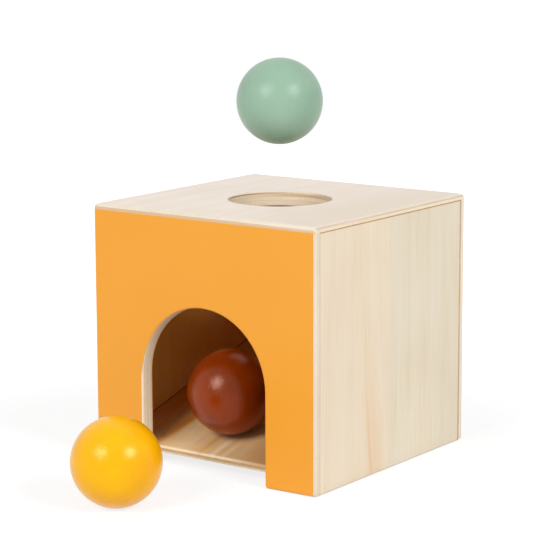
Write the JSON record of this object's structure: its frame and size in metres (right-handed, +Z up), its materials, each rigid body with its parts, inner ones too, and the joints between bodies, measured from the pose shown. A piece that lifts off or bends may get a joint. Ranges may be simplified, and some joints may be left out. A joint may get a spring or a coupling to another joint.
{
  "type": "object permanence box",
  "caption": "Nearly cubic open-bottomed plywood box with a round drop hole in its lid, an arched front opening down to the ground, a sloping ramp inside and loose balls.",
  "frame": {"origin": "centre of the whole set's footprint, on the ground that the box and the yellow ball stand on", "axes": "+X to the right seen from the front, +Y from the arched front to the back, +Z up"},
  "size_m": [0.14, 0.228, 0.2087],
  "materials": {
    "plywood": "clear matt lacquer",
    "ramp_plywood": "clear matt lacquer",
    "orange_coat": "satin lacquer",
    "yellow_lacquer": "satin lacquer",
    "brown_lacquer": "satin lacquer",
    "green_lacquer": "satin lacquer"
  },
  "bodies": {
    "box": {"top_board": "plywood", "front_panel": "plywood", "front_coat": "orange_coat", "back_panel": "plywood", "left_panel": "plywood", "right_panel": "plywood", "ramp": "ramp_plywood"},
    "green_ball": {"ball_green": "green_lacquer"},
    "brown_ball": {"ball_brown": "brown_lacquer"},
    "yellow_ball": {"ball_yellow": "yellow_lacquer"}
  },
  "joints": [
    {"name": "green_drop", "type": "slide", "parent": "box", "child": "green_ball", "axis": [0, 0, -1], "range_m": [0, 0.127]},
    {"name": "brown_roll", "type": "slide", "parent": "box", "child": "brown_ball", "axis": [0, -0.9603, -0.279], "range_m": [0, 0.05]},
    {"name": "yellow_roll", "type": "slide", "parent": "box", "child": "yellow_ball", "axis": [0, -1, 0], "range_m": [0, 0.08]}
  ]
}
